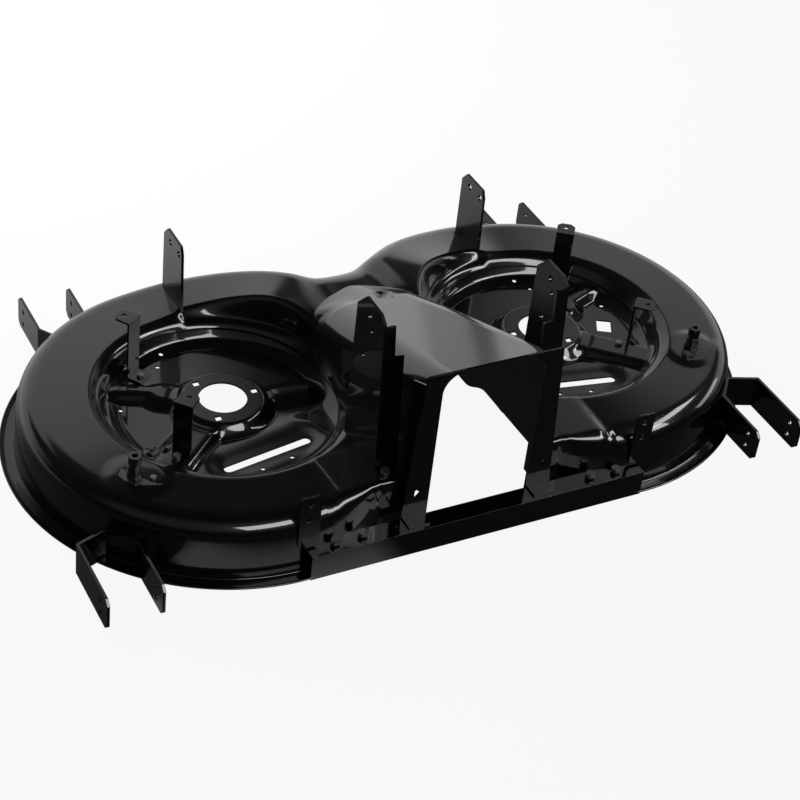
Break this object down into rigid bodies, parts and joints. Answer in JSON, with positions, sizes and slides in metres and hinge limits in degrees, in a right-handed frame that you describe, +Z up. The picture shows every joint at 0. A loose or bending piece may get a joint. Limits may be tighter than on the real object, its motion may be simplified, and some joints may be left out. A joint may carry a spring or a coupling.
{
  "type": "lawn mower deck",
  "caption": "Bare twin-ring steel mowing deck in gloss black with a sloping rear discharge tunnel, lift brackets, cover posts, wheel yokes and wash ports.",
  "frame": {"origin": "centre of the part's box at the height of the rim's underside", "axes": "+X along the spindle line to the right seen from the chute, +Y to the front of the mower, away from the chute, +Z up"},
  "size_m": [1.0658, 0.641, 0.32],
  "materials": {
    "pressing_paint": "gloss",
    "bracket_paint": "gloss",
    "fastener_paint": "satin",
    "port_plastic": "gloss"
  },
  "bodies": {
    "root": {"deck_shell": "pressing_paint", "chute_tunnel": "pressing_paint", "chute_plate_left": "bracket_paint", "chute_plate_right": "bracket_paint", "rear_crossbar": "bracket_paint", "front_hanger_left": "bracket_paint", "front_hanger_right": "bracket_paint", "lift_bracket_left": "bracket_paint", "lift_bracket_right": "bracket_paint", "cover_post_front_left": "bracket_paint", "cover_post_rear_left": "bracket_paint", "cover_post_front_right": "bracket_paint", "cover_post_rear_right": "bracket_paint", "wheel_yoke_front_left": "bracket_paint", "wheel_yoke_rear_left": "bracket_paint", "wheel_yoke_front_right": "bracket_paint", "wheel_yoke_rear_right": "bracket_paint", "rear_tab_left": "bracket_paint", "rear_tab_right": "bracket_paint", "wash_port_left": "port_plastic", "wash_port_right": "port_plastic", "wash_port_screws": "fastener_paint", "crossbar_bolts": "fastener_paint", "lift_bracket_bolts": "fastener_paint", "post_screws": "fastener_paint"}
  },
  "joints": []
}
